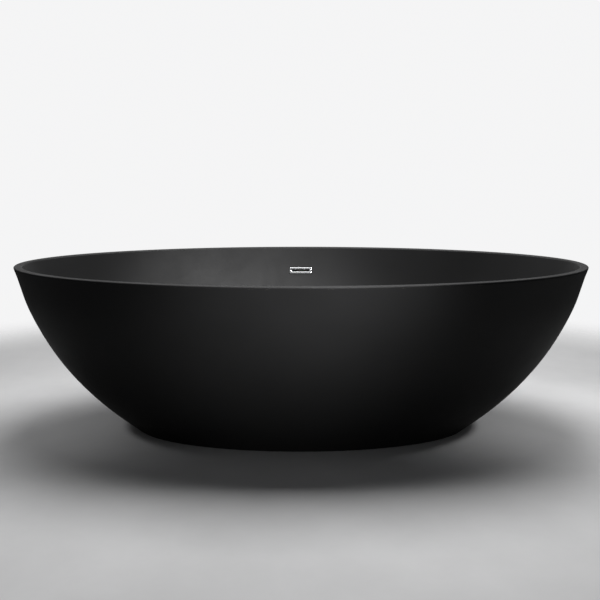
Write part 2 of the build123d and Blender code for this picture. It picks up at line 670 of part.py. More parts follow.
with BuildPart() as stopper_cap:
    with BuildSketch(Plane.XZ):
        with BuildLine():
            Polyline(
                (0, CAP_LOW),
                (CAP_RADIUS - CAP_BEVEL, CAP_LOW),
                (CAP_RADIUS, CAP_LOW + CAP_BEVEL),
                (CAP_RADIUS, CAP_LOW + CAP_EDGE - CAP_BEVEL),
            )
            Spline(
                (CAP_RADIUS, CAP_LOW + CAP_EDGE - CAP_BEVEL),
                (CAP_RADIUS - CAP_BEVEL, CAP_LOW + CAP_EDGE),
                (0, CAP_LOW + CAP_EDGE + CAP_CROWN),
                tangents=((0, 1), (-1, 0)),
            )
            Line((0, CAP_LOW + CAP_EDGE + CAP_CROWN), (0, CAP_LOW))
        make_face()
    revolve(axis=Axis.Z)
save("stopper_cap", stopper_cap.part)

with BuildPart() as stopper_seal:
    with BuildSketch(Plane.XZ):
        with BuildLine():
            Polyline(
                (SEAL_HOLE, CAP_LOW),
                (SEAL_TOP_RADIUS, CAP_LOW),
                (SEAL_LOW_RADIUS, CAP_LOW - SEAL_DEPTH),
                (SEAL_HOLE, CAP_LOW - SEAL_DEPTH),
                close=True,
            )
        make_face()
    revolve(axis=Axis.Z)
save("stopper_seal", stopper_seal.part)

with BuildPart() as stopper_stem:
    with BuildSketch(Plane.XY.offset(STEM_LOW)):
        Circle(STEM_RADIUS)
    extrude(amount=CAP_LOW - STEM_LOW)
    chamfer(stopper_stem.edges().group_by(Axis.Z)[0], length=STEM_TIP)
    with BuildSketch(Plane.XY.offset(COLLAR_LOW)):
        Circle(COLLAR_RADIUS)
    extrude(amount=COLLAR)
save("stopper_stem", stopper_stem.part)

with BuildPart() as stopper_sleeve:
    with BuildSketch(Plane.XY.offset(TAIL_LOW)):
        Circle(SLEEVE_RADIUS)
        Circle(STEM_RADIUS + STEM_GAP, mode=Mode.SUBTRACT)
    extrude(amount=SLEEVE_TOP - TAIL_LOW)
    with BuildSketch(Plane.XY.offset(CHAMBER_LOW)):
        Circle(CHAMBER_RADIUS)
    extrude(amount=CHAMBER_TOP - CHAMBER_LOW, mode=Mode.SUBTRACT)
save("stopper_sleeve", stopper_sleeve.part)

SPRING_LOW = CHAMBER_LOW + SPRING_WIRE + RUNNING_GAP
SPRING_HEIGHT = COLLAR_LOW - SPRING_WIRE - RUNNING_GAP - SPRING_LOW

with BuildPart() as stopper_spring:
    with BuildLine() as coil:
        Helix(SPRING_HEIGHT / SPRING_TURNS, SPRING_HEIGHT, SPRING_RADIUS, center=(0, 0, SPRING_LOW))
    with BuildSketch(Plane(origin=coil.line @ 0, z_dir=coil.line % 0)):
        Circle(SPRING_WIRE)
    sweep(is_frenet=True)
save("stopper_spring", stopper_spring.part)

# ---------------------------------------------------------------- overflow
TRIM_PROUD, TRIM_EDGE, SLOT_CORNER = 2.6, 1.2, 1.0
SEAL_THICKNESS = 2.0
BOX_FLANGE, BOX_FLANGE_FRAME, BOX_CORNER = 2.5, (92.0, 26.0), 3.0
BOX_OUTER, BOX_WALL, BOX_BACK = (80.0, 26.0), 2.0, -27.0
SLEEVE_REACH = -20.0
OUTLET_INWARD, OUTLET_RADIUS, OUTLET_BORE, OUTLET_END = -19.5, HOSE_BORE, 7.0, -36.0
SEAL_BACK = -PAD_DEPTH - SEAL_THICKNESS

with BuildPart() as overflow_trim:
    with BuildSketch(OVERFLOW_WALL.offset(-POCKET_DEPTH)):
        RectangleRounded(TRIM_LENGTH, TRIM_HEIGHT, TRIM_CORNER)
    extrude(amount=POCKET_DEPTH + TRIM_PROUD)
    with BuildSketch(OVERFLOW_WALL.offset(SLEEVE_REACH)):
        RectangleRounded(SLEEVE_LENGTH, SLEEVE_HEIGHT, TRIM_CORNER)
    extrude(amount=-SLEEVE_REACH)
    with BuildSketch(OVERFLOW_WALL.offset(SLEEVE_REACH)):
        RectangleRounded(SLOT_LENGTH, SLOT_HEIGHT, SLOT_CORNER)
    extrude(amount=-2 * SLEEVE_REACH, mode=Mode.SUBTRACT)
    front = overflow_trim.faces().sort_by(Axis((0, 0, 0), OVERFLOW_WALL.z_dir))[-1]
    fillet(front.edges(), radius=TRIM_EDGE)
save("overflow_trim", overflow_trim.part)

with BuildPart() as overflow_seal:
    with BuildSketch(OVERFLOW_WALL.offset(SEAL_BACK)):
        RectangleRounded(*BOX_FLANGE_FRAME, BOX_CORNER)
        Rectangle(SLEEVE_LENGTH + 2 * SLOT_GAP, SLEEVE_HEIGHT + 2 * SLOT_GAP, mode=Mode.SUBTRACT)
    extrude(amount=SEAL_THICKNESS)
save("overflow_seal", overflow_seal.part)

WALL_DOWN = -OVERFLOW_WALL.y_dir

with BuildPart() as overflow_box:
    with BuildSketch(OVERFLOW_WALL.offset(SEAL_BACK)):
        RectangleRounded(*BOX_FLANGE_FRAME, BOX_CORNER)
    extrude(amount=-BOX_FLANGE)
    with BuildSketch(OVERFLOW_WALL.offset(BOX_BACK)):
        RectangleRounded(*BOX_OUTER, BOX_CORNER)
    extrude(amount=SEAL_BACK - BOX_BACK)
    with BuildSketch(turned_plane(on_wall(-BOX_OUTER[1] / 2 + BOX_WALL, OUTLET_INWARD), WALL_DOWN)):
        Circle(OUTLET_RADIUS)
    extrude(amount=-OUTLET_END - BOX_OUTER[1] / 2 + BOX_WALL)
    with BuildSketch(OVERFLOW_WALL.offset(BOX_BACK + BOX_WALL)):
        Rectangle(BOX_OUTER[0] - 2 * BOX_WALL, BOX_OUTER[1] - 2 * BOX_WALL)
    extrude(amount=SEAL_BACK - BOX_FLANGE - BOX_BACK - BOX_WALL, mode=Mode.SUBTRACT)
    with BuildSketch(OVERFLOW_WALL.offset(SEAL_BACK)):
        Rectangle(SLEEVE_LENGTH + 2 * SLOT_GAP, SLEEVE_HEIGHT + 2 * SLOT_GAP)
    extrude(amount=-BOX_FLANGE, mode=Mode.SUBTRACT)
    with BuildSketch(turned_plane(on_wall(0, OUTLET_INWARD), WALL_DOWN)):
        Circle(OUTLET_BORE)
    extrude(amount=-OUTLET_END, mode=Mode.SUBTRACT)
save("overflow_box", overflow_box.part)

# The hose runs down the cavity and in under the basin, all of it at x = 0.
HOSE_START, HOSE_FIRST_RUN, HOSE_STANDOFF = -16.0, 130.0, 3.0
BEND_SHARE = 0.45
hose_start = on_wall(HOSE_START, OUTLET_INWARD)
HOSE_ROUTE = [
    hose_start,
    hose_start + WALL_DOWN * HOSE_FIRST_RUN,
    Vector(0, 322, 190),
    Vector(0, 245, 105),
    Vector(0, 165, INLET_Z),
    Vector(0, SHOE_RADIUS + HOSE_STANDOFF, INLET_Z),
]


def bend_radii(route):
    """The largest even bends that the runs on each side of every corner leave room for."""
    radii = []
    for before, corner, after in zip(route, route[1:], route[2:]):
        first, second = corner - before, after - corner
        half_turn = math.radians(first.get_angle(second)) / 2
        radii.append(BEND_SHARE * min(first.length, second.length) / math.tan(half_turn))
    return radii


hose_radii = bend_radii(HOSE_ROUTE)
print("hose bend radii", [round(r) for r in hose_radii])

with BuildPart() as overflow_hose:
    with BuildLine() as hose_line:
        FilletPolyline(*HOSE_ROUTE, radius=hose_radii)
    with BuildSketch(turned_plane(hose_start, WALL_DOWN)):
        Circle(HOSE_RADIUS)
        Circle(HOSE_BORE, mode=Mode.SUBTRACT)
    sweep()
hose_section = math.pi * (HOSE_RADIUS**2 - HOSE_BORE**2)
hose_length = sum(edge.length for edge in hose_line.edges())
print("hose volume over section times length", overflow_hose.part.volume / hose_section / hose_length)
save("overflow_hose", overflow_hose.part)

CLIP_BAND, CLIP_WIDTH, CLIP_LUG, CLIP_CORNER = 0.8, 9.0, (9.0, 14.0), 2.0


def hose_clip(middle, along):
    """A worm-drive band round the hose, with its screw housing to one side."""
    base = turned_plane(middle - along * (CLIP_WIDTH / 2), along)
    with BuildPart() as clip:
        with BuildSketch(base):
            Circle(HOSE_RADIUS + CLIP_BAND)
            with Locations((HOSE_RADIUS + CLIP_LUG[0] / 2 - CLIP_BAND, 0)):
                RectangleRounded(*CLIP_LUG, CLIP_CORNER)
            Circle(HOSE_RADIUS, mode=Mode.SUBTRACT)
        extrude(amount=CLIP_WIDTH)
    return clip.part


CLIP_DROP, CLIP_Y = 10.0, 45.0
save("hose_clip_top", hose_clip(hose_start + WALL_DOWN * CLIP_DROP, WALL_DOWN))
save("hose_clip_bottom", hose_clip(Vector(0, CLIP_Y, INLET_Z), Vector(0, 1, 0)))
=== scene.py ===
import json
import math

import bmesh
import bpy
from mathutils import Matrix, Vector


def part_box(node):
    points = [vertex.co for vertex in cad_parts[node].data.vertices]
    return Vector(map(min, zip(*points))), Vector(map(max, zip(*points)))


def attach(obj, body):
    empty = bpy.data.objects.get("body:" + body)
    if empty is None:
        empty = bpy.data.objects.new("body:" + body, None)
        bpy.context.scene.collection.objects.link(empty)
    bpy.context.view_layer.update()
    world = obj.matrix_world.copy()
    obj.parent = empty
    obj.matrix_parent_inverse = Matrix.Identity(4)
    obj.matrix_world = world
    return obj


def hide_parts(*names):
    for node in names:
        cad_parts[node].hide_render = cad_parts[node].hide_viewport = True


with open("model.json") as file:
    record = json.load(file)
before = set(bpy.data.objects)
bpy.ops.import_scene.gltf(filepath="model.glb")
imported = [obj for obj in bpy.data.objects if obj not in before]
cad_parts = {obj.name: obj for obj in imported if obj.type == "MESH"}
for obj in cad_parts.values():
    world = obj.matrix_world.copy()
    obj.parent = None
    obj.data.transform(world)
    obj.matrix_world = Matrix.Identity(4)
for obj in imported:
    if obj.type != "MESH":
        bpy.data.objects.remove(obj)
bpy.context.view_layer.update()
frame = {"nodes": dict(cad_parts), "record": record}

NODES = frame["nodes"]

X, Y, Z = Vector((1, 0, 0)), Vector((0, 1, 0)), Vector((0, 0, 1))

# ---------------------------------------------------------------- sizes, in metres
# Above this height the basin is black on every side.
RIM_EDGE_Z = 0.5335

# Faces whose normal's Z is nearer to 0 than this count as part of the side that shows.
UPRIGHT = 0.1

# The wall leans back where the overflow goes through it.
WALL_LEAN = math.radians(16.44)
INTO_BASIN = Vector((0, -math.cos(WALL_LEAN), math.sin(WALL_LEAN)))
DOWN_WALL = Vector((0, -math.sin(WALL_LEAN), -math.cos(WALL_LEAN)))
# Painted shade in the trim's slot: the chrome turns to painted black from half this depth behind the face,
# and is fully black at this depth.
SLOT_SHADE_DEPTH = 0.005

# The overflow hose, from the box behind the wall to the waste under the floor.
INLET_Z = 0.075
HOSE_START = Vector((0, 0.4154, 0.4351))
HOSE_ROUTE = [
    HOSE_START,
    HOSE_START + DOWN_WALL * 0.130,
    Vector((0, 0.322, 0.190)),
    Vector((0, 0.245, 0.105)),
    Vector((0, 0.165, INLET_Z)),
    Vector((0, 0.031, INLET_Z)),
]
HOSE_RADIUS, HOSE_BORE = 0.0109, 0.0091
HOSE_ROOT, HOSE_SKIN = 0.0094, 0.0009
HOSE_PITCH, HOSE_CUFF = 0.005, 0.022
HOSE_SIDES, HOSE_STEPS = 20, 5

# The clips: the middle of each and its axis, the band, its slots, and the screw in its housing.
CLIPS = {
    "hose_clip_top": (HOSE_START + DOWN_WALL * 0.010, DOWN_WALL),
    "hose_clip_bottom": (Vector((0, 0.045, INLET_Z)), Y),
}
CLIP_BORE, CLIP_BAND, CLIP_WIDTH = 0.011, 0.0008, 0.009
BAND_SIDES, BEVEL_OUT, BEVEL_ALONG = 120, 0.0002, 0.0003
SLOT_MOUTH, SLOT_FLOOR, SLOT_DEPTH, SLOT_SPACING = 0.0026, 0.0023, 0.0004, 4
SCREW_OUT, SCREW_NECK, SCREW_FLAT = 0.0152, 0.0024, 0.0064
HOUSING, HOUSING_BACK, HOUSING_EDGE = (0.0074, 0.0094, 0.0086), 0.0014, 0.0016
NECK_LOW, NECK_HIGH, HEAD_LOW, HEAD_HIGH = 0.0028, 0.0036, 0.0038, 0.0068
RECESS_MOUTH, RECESS_FLOOR, RECESS_LOW = 0.0018, 0.0015, 0.0060

# Levelling screws, M12 x 1.75.
STUD_PIN, STUD_PIN_LOW, STUD_PIN_EDGE = 0.005, 0.0042, 0.0006
STUD_FLAT, HEX_LOW, HEX_HIGH, STUD_TOP = 0.017, 0.015, 0.023, 0.088
THREAD_CREST, THREAD_ROOT, THREAD_PITCH = 0.00596, 0.00507, 0.00175
THREAD_END, THREAD_START = 0.0008, 0.0002
THREAD_STEPS, RUN_OUT, ROOT_SHARE, FLANK_SHARE = 6, 1.5, 0.18, 0.62

# Turned hexagons: sides of their rings, the flat end face's share of the width, and the chamfer.
TURNED_SIDES = 24
HEX_FACE = 0.485
HEX_CHAMFER = math.tan(math.radians(30))


# ---------------------------------------------------------------- shader helpers
class Shader:
    """A new material with its nodes at hand."""

    def __init__(self, name):
        self.material = bpy.data.materials.new(name)
        self.material.use_nodes = True
        self.tree = self.material.node_tree
        self.bsdf = self.tree.nodes["Principled BSDF"]
        self.coordinates = self.tree.nodes.new("ShaderNodeTexCoord").outputs["Object"]

    def link(self, source, target):
        self.tree.links.new(source, target)

    def set(self, **values):
        """Numbers that are the same all over, on the shader's own sockets."""
        for name, value in values.items():
            self.bsdf.inputs[name.replace("_", " ")].default_value = value

    def stretched(self, scale):
        """The object's coordinates, scaled along each axis."""
        mapping = self.tree.nodes.new("ShaderNodeMapping")
        mapping.inputs["Scale"].default_value = scale
        self.link(self.coordinates, mapping.inputs["Vector"])
        return mapping.outputs["Vector"]

    def noise(self, scale, detail=4.0, roughness=0.5, vector=None, distortion=0.0):
        node = self.tree.nodes.new("ShaderNodeTexNoise")
        node.inputs["Scale"].default_value = scale
        node.inputs["Detail"].default_value = detail
        node.inputs["Roughness"].default_value = roughness
        node.inputs["Distortion"].default_value = distortion
        self.link(vector or self.coordinates, node.inputs["Vector"])
        return node.outputs["Fac"]

    def cells(self, scale, output="Distance"):
        node = self.tree.nodes.new("ShaderNodeTexVoronoi")
        node.inputs["Scale"].default_value = scale
        self.link(self.coordinates, node.inputs["Vector"])
        return node.outputs[output]

    def spread(self, value, low, high, out_low=0.0, out_high=1.0):
        """Maps the values from low to high onto out_low to out_high."""
        node = self.tree.nodes.new("ShaderNodeMapRange")
        node.inputs["From Min"].default_value = low
        node.inputs["From Max"].default_value = high
        node.inputs["To Min"].default_value = out_low
        node.inputs["To Max"].default_value = out_high
        self.link(value, node.inputs["Value"])
        return node.outputs["Result"]

    def ramp(self, value, *stops):
        """Colours along a value: stops are (place, (r, g, b))."""
        node = self.tree.nodes.new("ShaderNodeValToRGB")
        elements = node.color_ramp.elements
        while len(elements) < len(stops):
            elements.new(0.5)
        for element, (place, colour) in zip(elements, stops):
            element.position = place
            element.color = (*colour, 1.0)
        self.link(value, node.inputs["Fac"])
        return node.outputs["Color"]

    def mix(self, factor, first, second):
        """A colour mix; first and second are sockets or colours."""
        node = self.tree.nodes.new("ShaderNodeMix")
        node.data_type = "RGBA"
        colours = [socket for socket in node.inputs if socket.type == "RGBA"]
        for socket, value in zip(colours, (first, second)):
            if isinstance(value, tuple):
                socket.default_value = (*value, 1.0)
            else:
                self.link(value, socket)
        self.link(factor, node.inputs[0])
        return next(socket for socket in node.outputs if socket.type == "RGBA")

    def mix_numbers(self, factor, first, second):
        node = self.tree.nodes.new("ShaderNodeMix")
        values = [socket for socket in node.inputs if socket.type == "VALUE"]
        for socket, value in zip(values, (factor, first, second)):
            self.link(value, socket)
        return node.outputs[0]

    def math(self, operation, first, second=None):
        node = self.tree.nodes.new("ShaderNodeMath")
        node.operation = operation
        for socket, value in zip(node.inputs, (first, second)):
            if isinstance(value, (int, float)):
                socket.default_value = value
            elif value is not None:
                self.link(value, socket)
        return node.outputs[0]

    def along(self, direction):
        """How far the surface lies along a direction."""
        node = self.tree.nodes.new("ShaderNodeVectorMath")
        node.operation = "DOT_PRODUCT"
        node.inputs[1].default_value = direction
        self.link(self.coordinates, node.inputs[0])
        return node.outputs["Value"]

    def geometry(self, output):
        return self.tree.nodes.new("ShaderNodeNewGeometry").outputs[output]

    def part_of(self, vector, axis):
        """One coordinate of a vector."""
        node = self.tree.nodes.new("ShaderNodeSeparateXYZ")
        self.link(vector, node.inputs["Vector"])
        return node.outputs[axis]

    def bump(self, height, strength, distance, after=None):
        node = self.tree.nodes.new("ShaderNodeBump")
        node.inputs["Strength"].default_value = strength
        node.inputs["Distance"].default_value = distance
        self.link(height, node.inputs["Height"])
        if after is not None:
            self.link(after, node.inputs["Normal"])
        self.link(node.outputs["Normal"], self.bsdf.inputs["Normal"])
        return node.outputs["Normal"]

    def colour(self, socket):
        self.link(socket, self.bsdf.inputs["Base Color"])

    def roughness(self, socket):
        self.link(socket, self.bsdf.inputs["Roughness"])


# ---------------------------------------------------------------- materials
PLY_THICKNESS = 0.0015


def shell(name, hidden_side, rim_z=None):
    """Matte black acrylic; its hidden side, above (1) or below (-1) the wall, is glass mat in resin."""
    s = Shader(name)
    s.set(Specular_IOR_Level=0.12)
    turned = s.part_of(s.geometry("True Normal"), "Z")
    hidden = s.math("GREATER_THAN", s.math("MULTIPLY", turned, hidden_side), UPRIGHT)
    if rim_z is not None:
        below_rim = s.math("LESS_THAN", s.part_of(s.coordinates, "Z"), rim_z)
        hidden = s.math("MULTIPLY", hidden, below_rim)

    clouds = s.noise(2.2, 3.0, 0.55)
    grain = s.noise(420.0, 2.0, 0.6)
    acrylic = s.ramp(clouds, (0.30, (0.0175, 0.0175, 0.0178)), (0.72, (0.0225, 0.0225, 0.0229)))
    smudge = s.spread(s.noise(6.0, 5.0, 0.62, distortion=0.4), 0.35, 0.75, 0.0, 0.09)
    matte = s.math("SUBTRACT", s.spread(grain, 0.3, 0.7, 0.47, 0.55), smudge)

    strands = s.noise(110.0, 7.0, 0.72, distortion=1.4)
    blotch = s.noise(9.0, 4.0, 0.6)
    tint = s.ramp(blotch, (0.3, (0.34, 0.33, 0.25)), (0.7, (0.50, 0.49, 0.40)))
    mat = s.mix(s.spread(strands, 0.45, 0.62, 0.0, 0.8), tint, (0.62, 0.62, 0.55))

    s.colour(s.mix(hidden, acrylic, mat))
    s.roughness(s.mix_numbers(hidden, matte, s.spread(strands, 0.3, 0.7, 0.35, 0.6)))
    peel = s.bump(s.noise(160.0, 2.0, 0.5), 0.10, 0.0004)
    fine = s.bump(grain, 0.12, 0.0002, after=peel)
    s.bump(s.math("MULTIPLY", hidden, strands), 0.5, 0.0015, after=fine)
    return s.material


def resin():
    """Cast filled resin: cloudy, with trapped bubbles."""
    s = Shader("resin")
    s.set(Specular_IOR_Level=0.45)
    cloud = s.noise(18.0, 5.0, 0.6, distortion=0.5)
    bubbles = s.spread(s.cells(240.0), 0.08, 0.16)
    tint = s.ramp(cloud, (0.3, (0.30, 0.28, 0.21)), (0.7, (0.44, 0.42, 0.33)))
    s.colour(s.mix(bubbles, (0.20, 0.18, 0.13), tint))
    s.roughness(s.spread(cloud, 0.3, 0.7, 0.40, 0.58))
    s.bump(bubbles, 0.3, 0.0006)
    return s.material


def chrome():
    """Polished chrome plate with hairline wiping marks and dried water."""
    s = Shader("chrome")
    s.set(Metallic=1.0)
    wipes = s.noise(900.0, 3.0, 0.6, vector=s.stretched((0.08, 1.0, 1.0)))
    spots = s.cells(140.0)
    s.colour(s.ramp(wipes, (0.3, (0.80, 0.81, 0.83)), (0.7, (0.88, 0.89, 0.90))))
    worn = s.spread(wipes, 0.35, 0.7, 0.045, 0.10)
    s.roughness(s.math("ADD", worn, s.spread(spots, 0.0, 0.12, 0.08, 0.0)))
    s.bump(wipes, 0.04, 0.0001)
    return s.material


def trim_chrome():
    """Chrome plate, with painted shade deep inside the slot: there the colour is painted black, matte and
    not metallic.
    """
    s = Shader("trim_chrome")
    face = max(v.co.dot(INTO_BASIN) for v in NODES["overflow_trim"].data.vertices)
    wipes = s.noise(900.0, 3.0, 0.6, vector=s.stretched((0.08, 1.0, 1.0)))
    plate = s.ramp(wipes, (0.3, (0.78, 0.79, 0.81)), (0.7, (0.87, 0.88, 0.89)))
    # Painted shade: deeper in the slot than the face, the colour goes to black and the metal is turned off.
    outside_painted_shade = s.spread(s.along(INTO_BASIN), face - SLOT_SHADE_DEPTH, face - SLOT_SHADE_DEPTH / 2)
    s.colour(s.mix(outside_painted_shade, (0.012, 0.012, 0.012), plate))
    s.link(outside_painted_shade, s.bsdf.inputs["Metallic"])
    # Roughness: matte where the slot has painted shade, polished on the chrome plate.
    moulded = s.spread(wipes, 0.3, 0.7, 0.55, 0.65)
    polished = s.spread(wipes, 0.35, 0.7, 0.06, 0.12)
    s.roughness(s.mix_numbers(outside_painted_shade, moulded, polished))
    s.bump(wipes, 0.04, 0.0001)
    return s.material


def galvanised_steel():
    """Hot-dip zinc with its spangle."""
    s = Shader("galvanised_steel")
    s.set(Metallic=1.0)
    spangle = s.cells(110.0, output="Color")
    grey = s.tree.nodes.new("ShaderNodeRGBToBW")
    s.link(spangle, grey.inputs["Color"])
    s.colour(s.ramp(grey.outputs["Val"], (0.1, (0.42, 0.44, 0.46)), (0.9, (0.66, 0.68, 0.70))))
    s.roughness(s.spread(grey.outputs["Val"], 0.0, 1.0, 0.30, 0.52))
    s.bump(s.noise(260.0, 4.0, 0.6), 0.15, 0.0003)
    return s.material


def zinc_steel():
    """Bright zinc plate on turned fasteners."""
    s = Shader("zinc_steel")
    s.set(Metallic=1.0)
    turned = s.noise(1400.0, 2.0, 0.5, vector=s.stretched((1.0, 1.0, 0.1)))
    bloom = s.noise(60.0, 4.0, 0.6)
    s.colour(s.ramp(bloom, (0.3, (0.56, 0.57, 0.60)), (0.7, (0.74, 0.73, 0.68))))
    s.roughness(s.spread(turned, 0.3, 0.7, 0.20, 0.36))
    s.bump(turned, 0.10, 0.0002)
    return s.material


def stainless_steel():
    """Drawn stainless strip and wire."""
    s = Shader("stainless_steel")
    s.set(Metallic=1.0)
    drawn = s.noise(1100.0, 3.0, 0.5, vector=s.stretched((1.0, 0.06, 1.0)))
    s.colour(s.ramp(drawn, (0.3, (0.52, 0.52, 0.51)), (0.7, (0.68, 0.68, 0.66))))
    s.roughness(s.spread(drawn, 0.3, 0.7, 0.22, 0.34))
    s.bump(drawn, 0.08, 0.0001)
    return s.material


def brass():
    """Turned brass, slightly dulled."""
    s = Shader("brass")
    s.set(Metallic=1.0)
    turned = s.noise(1800.0, 2.0, 0.5, vector=s.stretched((0.1, 0.1, 1.0)))
    dull = s.noise(120.0, 4.0, 0.6)
    s.colour(s.ramp(dull, (0.3, (0.56, 0.38, 0.14)), (0.7, (0.78, 0.58, 0.26))))
    s.roughness(s.spread(turned, 0.3, 0.7, 0.22, 0.38))
    s.bump(turned, 0.12, 0.0001)
    return s.material


def rubber():
    """Moulded black rubber with a dusty bloom."""
    s = Shader("rubber")
    s.set(Specular_IOR_Level=0.35)
    bloom = s.noise(70.0, 4.0, 0.6)
    s.colour(s.ramp(bloom, (0.3, (0.012, 0.012, 0.012)), (0.75, (0.035, 0.034, 0.032))))
    s.roughness(s.spread(bloom, 0.3, 0.7, 0.62, 0.82))
    s.bump(s.noise(900.0, 2.0, 0.6), 0.2, 0.0002)
    return s.material


def black_nylon():
    """Spark-eroded moulding texture on glass-filled nylon."""
    s = Shader("black_nylon")
    s.set(Specular_IOR_Level=0.4)
    grain = s.cells(1300.0)
    scuff = s.noise(45.0, 5.0, 0.65)
    s.colour(s.ramp(scuff, (0.35, (0.014, 0.014, 0.015)), (0.75, (0.040, 0.040, 0.041))))
    s.roughness(s.spread(scuff, 0.3, 0.7, 0.48, 0.66))
    s.bump(grain, 0.22, 0.0002)
    return s.material


def white_plastic():
    """Moulded ABS waste fittings, a little yellowed."""
    s = Shader("white_plastic")
    s.set(Subsurface_Weight=0.05, Subsurface_Scale=0.002)
    flow = s.noise(14.0, 3.0, 0.5, vector=s.stretched((1.0, 1.0, 0.4)))
    s.colour(s.ramp(flow, (0.3, (0.70, 0.70, 0.66)), (0.7, (0.80, 0.80, 0.77))))
    s.roughness(s.spread(s.noise(300.0, 2.0, 0.5), 0.3, 0.7, 0.28, 0.42))
    s.bump(s.noise(700.0, 2.0, 0.5), 0.08, 0.0002)
    return s.material


def grey_hose():
    """Blow-moulded polypropylene hose."""
    s = Shader("grey_hose")
    s.set(Subsurface_Weight=0.05, Subsurface_Scale=0.001)
    cloud = s.noise(30.0, 3.0, 0.5)
    s.colour(s.ramp(cloud, (0.3, (0.30, 0.31, 0.32)), (0.7, (0.38, 0.39, 0.40))))
    s.roughness(s.spread(s.noise(500.0, 2.0, 0.5), 0.3, 0.7, 0.34, 0.5))
    s.bump(s.noise(900.0, 2.0, 0.5), 0.08, 0.0002)
    return s.material


def board():
    """Sealed plywood: long grain on the faces, plies on the edges."""
    s = Shader("board")
    s.set(Specular_IOR_Level=0.35)
    grain = s.noise(26.0, 6.0, 0.62, vector=s.stretched((0.35, 4.0, 1.0)), distortion=0.6)
    face = s.ramp(grain, (0.30, (0.30, 0.17, 0.075)), (0.55, (0.46, 0.29, 0.14)), (0.75, (0.56, 0.38, 0.20)))
    ply = s.math("PINGPONG", s.part_of(s.coordinates, "Z"), PLY_THICKNESS)
    layers = s.spread(ply, 0.0, PLY_THICKNESS)
    edge = s.ramp(layers, (0.35, (0.22, 0.12, 0.055)), (0.55, (0.52, 0.36, 0.19)))
    level = s.math("ABSOLUTE", s.part_of(s.geometry("True Normal"), "Z"))
    flat = s.math("GREATER_THAN", level, 0.7)
    s.colour(s.mix(flat, edge, face))
    s.roughness(s.spread(grain, 0.3, 0.7, 0.42, 0.60))
    s.bump(grain, 0.25, 0.0006)
    return s.material


MATERIALS = {
    make.__name__: make()
    for make in (
        resin, chrome, galvanised_steel, zinc_steel, stainless_steel,
        brass, rubber, black_nylon, white_plastic, grey_hose, board,
    )
}
OWN_MATERIALS = {
    "basin_shell": shell("basin_skin", hidden_side=-1, rim_z=RIM_EDGE_Z),
    "outer_skirt": shell("skirt_skin", hidden_side=1),
    "overflow_trim": trim_chrome(),
}


def dress_nodes():
    """Every CAD node takes its own material, or the one that its record slot names."""
    for part in frame["record"]["subparts"]:
        mesh = NODES[part["node"]].data
        mesh.materials.clear()
        mesh.materials.append(OWN_MATERIALS.get(part["node"]) or MATERIALS[part["material_slot"]])


dress_nodes()


# ---------------------------------------------------------------- pieces that replace plain CAD nodes
def join_rings(rings, closed=False):
    """Faces between rings of equal length; the ends are capped, or joined to each other."""
    count = len(rings[0])
    pairs = list(zip(range(len(rings)), range(1, len(rings))))
    if closed:
        pairs.append((len(rings) - 1, 0))
    faces = [
        (low * count + i, low * count + (i + 1) % count, high * count + (i + 1) % count, high * count + i)
        for low, high in pairs
        for i in range(count)
    ]
    if not closed:
        last = (len(rings) - 1) * count
        faces.append(tuple(reversed(range(count))))
        faces.append(tuple(range(last, last + count)))
    return [point for ring in rings for point in ring], faces


def add_piece(name, shells, slot, body, sharp):
    """One piece of closed shells in place of the CAD node of that name; sharp is in degrees."""
    mesh = bpy.data.meshes.new(name)
    points, faces = [], []
    for shell_points, shell_faces in shells:
        start = len(points)
        points += shell_points
        faces += [tuple(start + i for i in face) for face in shell_faces]
    mesh.from_pydata(points, [], faces)
    tidy = bmesh.new()
    tidy.from_mesh(mesh)
    bmesh.ops.recalc_face_normals(tidy, faces=tidy.faces)
    tidy.to_mesh(mesh)
    tidy.free()
    mesh.polygons.foreach_set("use_smooth", [True] * len(mesh.polygons))
    mesh.set_sharp_from_angle(angle=math.radians(sharp))
    mesh.materials.append(MATERIALS[slot])
    piece = bpy.data.objects.new(name + "_detail", mesh)
    bpy.context.collection.objects.link(piece)
    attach(piece, body)
    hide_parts(name)


def ring(place, side, up, along, sides, radius, height=0.0):
    """Points round an axis; radius and height may each be a function of the angle."""
    points = []
    for i in range(sides):
        angle = 2 * math.pi * i / sides
        out = radius(angle) if callable(radius) else radius
        rise = height(angle) if callable(height) else height
        points.append(place + (side * math.cos(angle) + up * math.sin(angle)) * out + along * rise)
    return points


def hex_rings(make_ring, flat, low, high):
    """A hexagon, with a corner at angle 0, whose corners are turned off at both ends."""
    face = HEX_FACE * flat

    def wide(angle):
        from_middle = angle % (math.pi / 3) - math.pi / 6
        return flat / 2 / math.cos(from_middle)

    def lift(angle):
        return (wide(angle) - face) * HEX_CHAMFER

    return [
        make_ring(face, low),
        make_ring(wide, lambda angle: low + lift(angle)),
        make_ring(wide, lambda angle: high - lift(angle)),
        make_ring(face, high),
    ]


